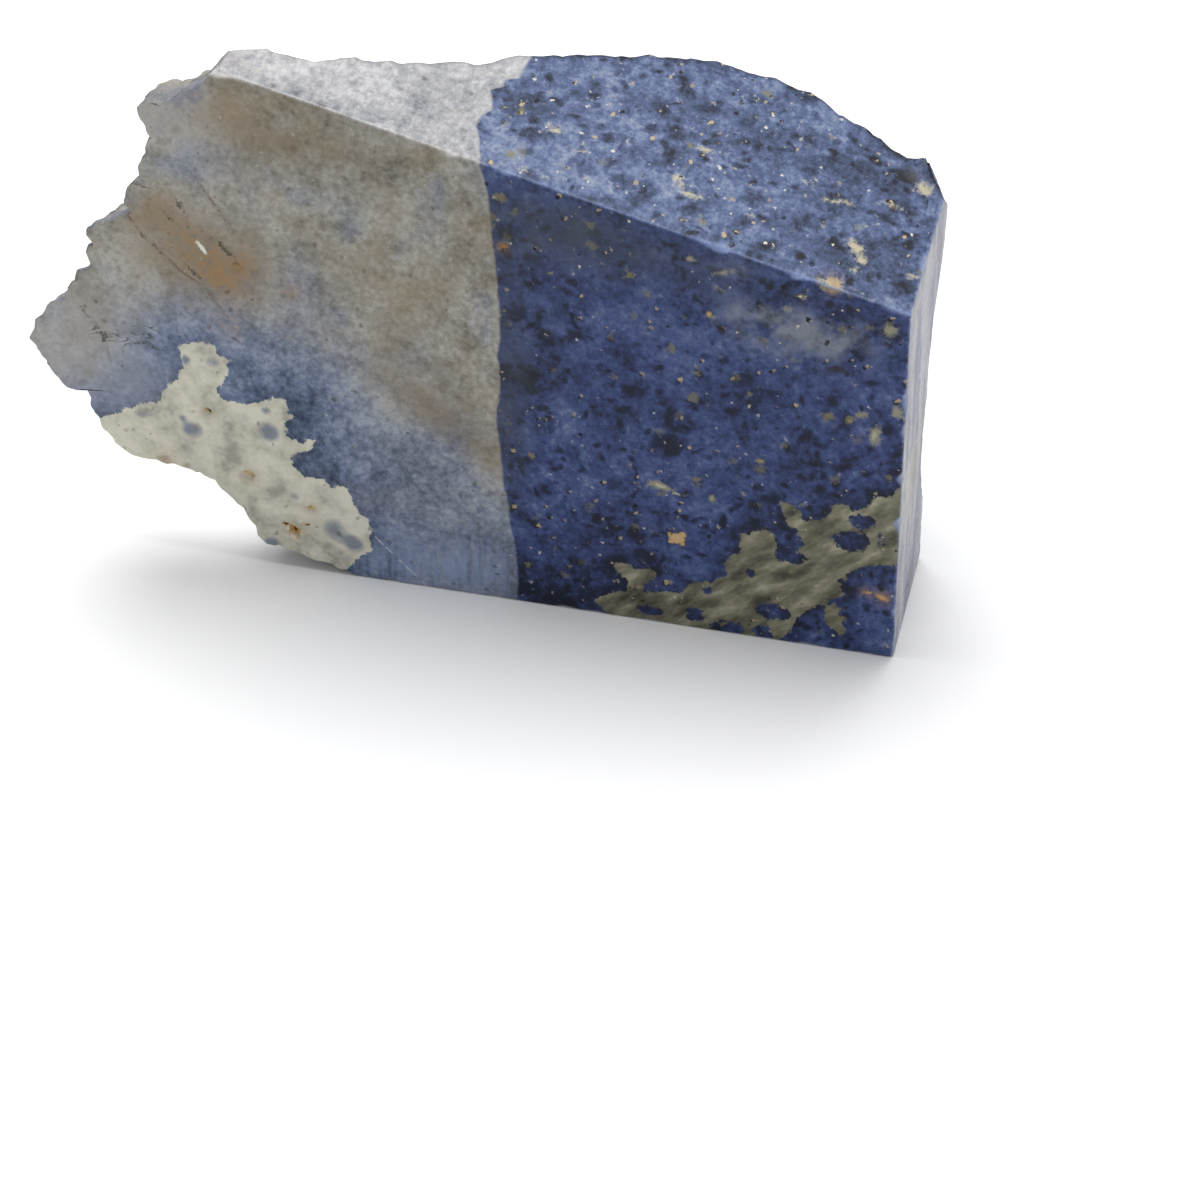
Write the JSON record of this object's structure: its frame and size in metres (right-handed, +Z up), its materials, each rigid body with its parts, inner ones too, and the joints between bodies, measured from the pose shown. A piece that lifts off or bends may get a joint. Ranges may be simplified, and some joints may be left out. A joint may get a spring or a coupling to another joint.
{
  "type": "rough dumortierite",
  "caption": "Heavy piece of rough blue rock, sawn flat on its front, right side, top and base and broken on its back and left rim; stands on its sawn base.",
  "frame": {"origin": "middle of the box around the stone, at the height of its sawn base", "axes": "+Z up, -Y out of the sawn front face, +X out of the sawn right side"},
  "size_m": [0.154, 0.0582, 0.0983],
  "materials": {
    "dumortierite": "sawn and matt, darker and glossier where wet"
  },
  "bodies": {
    "root": {"stone": "dumortierite"}
  },
  "joints": []
}
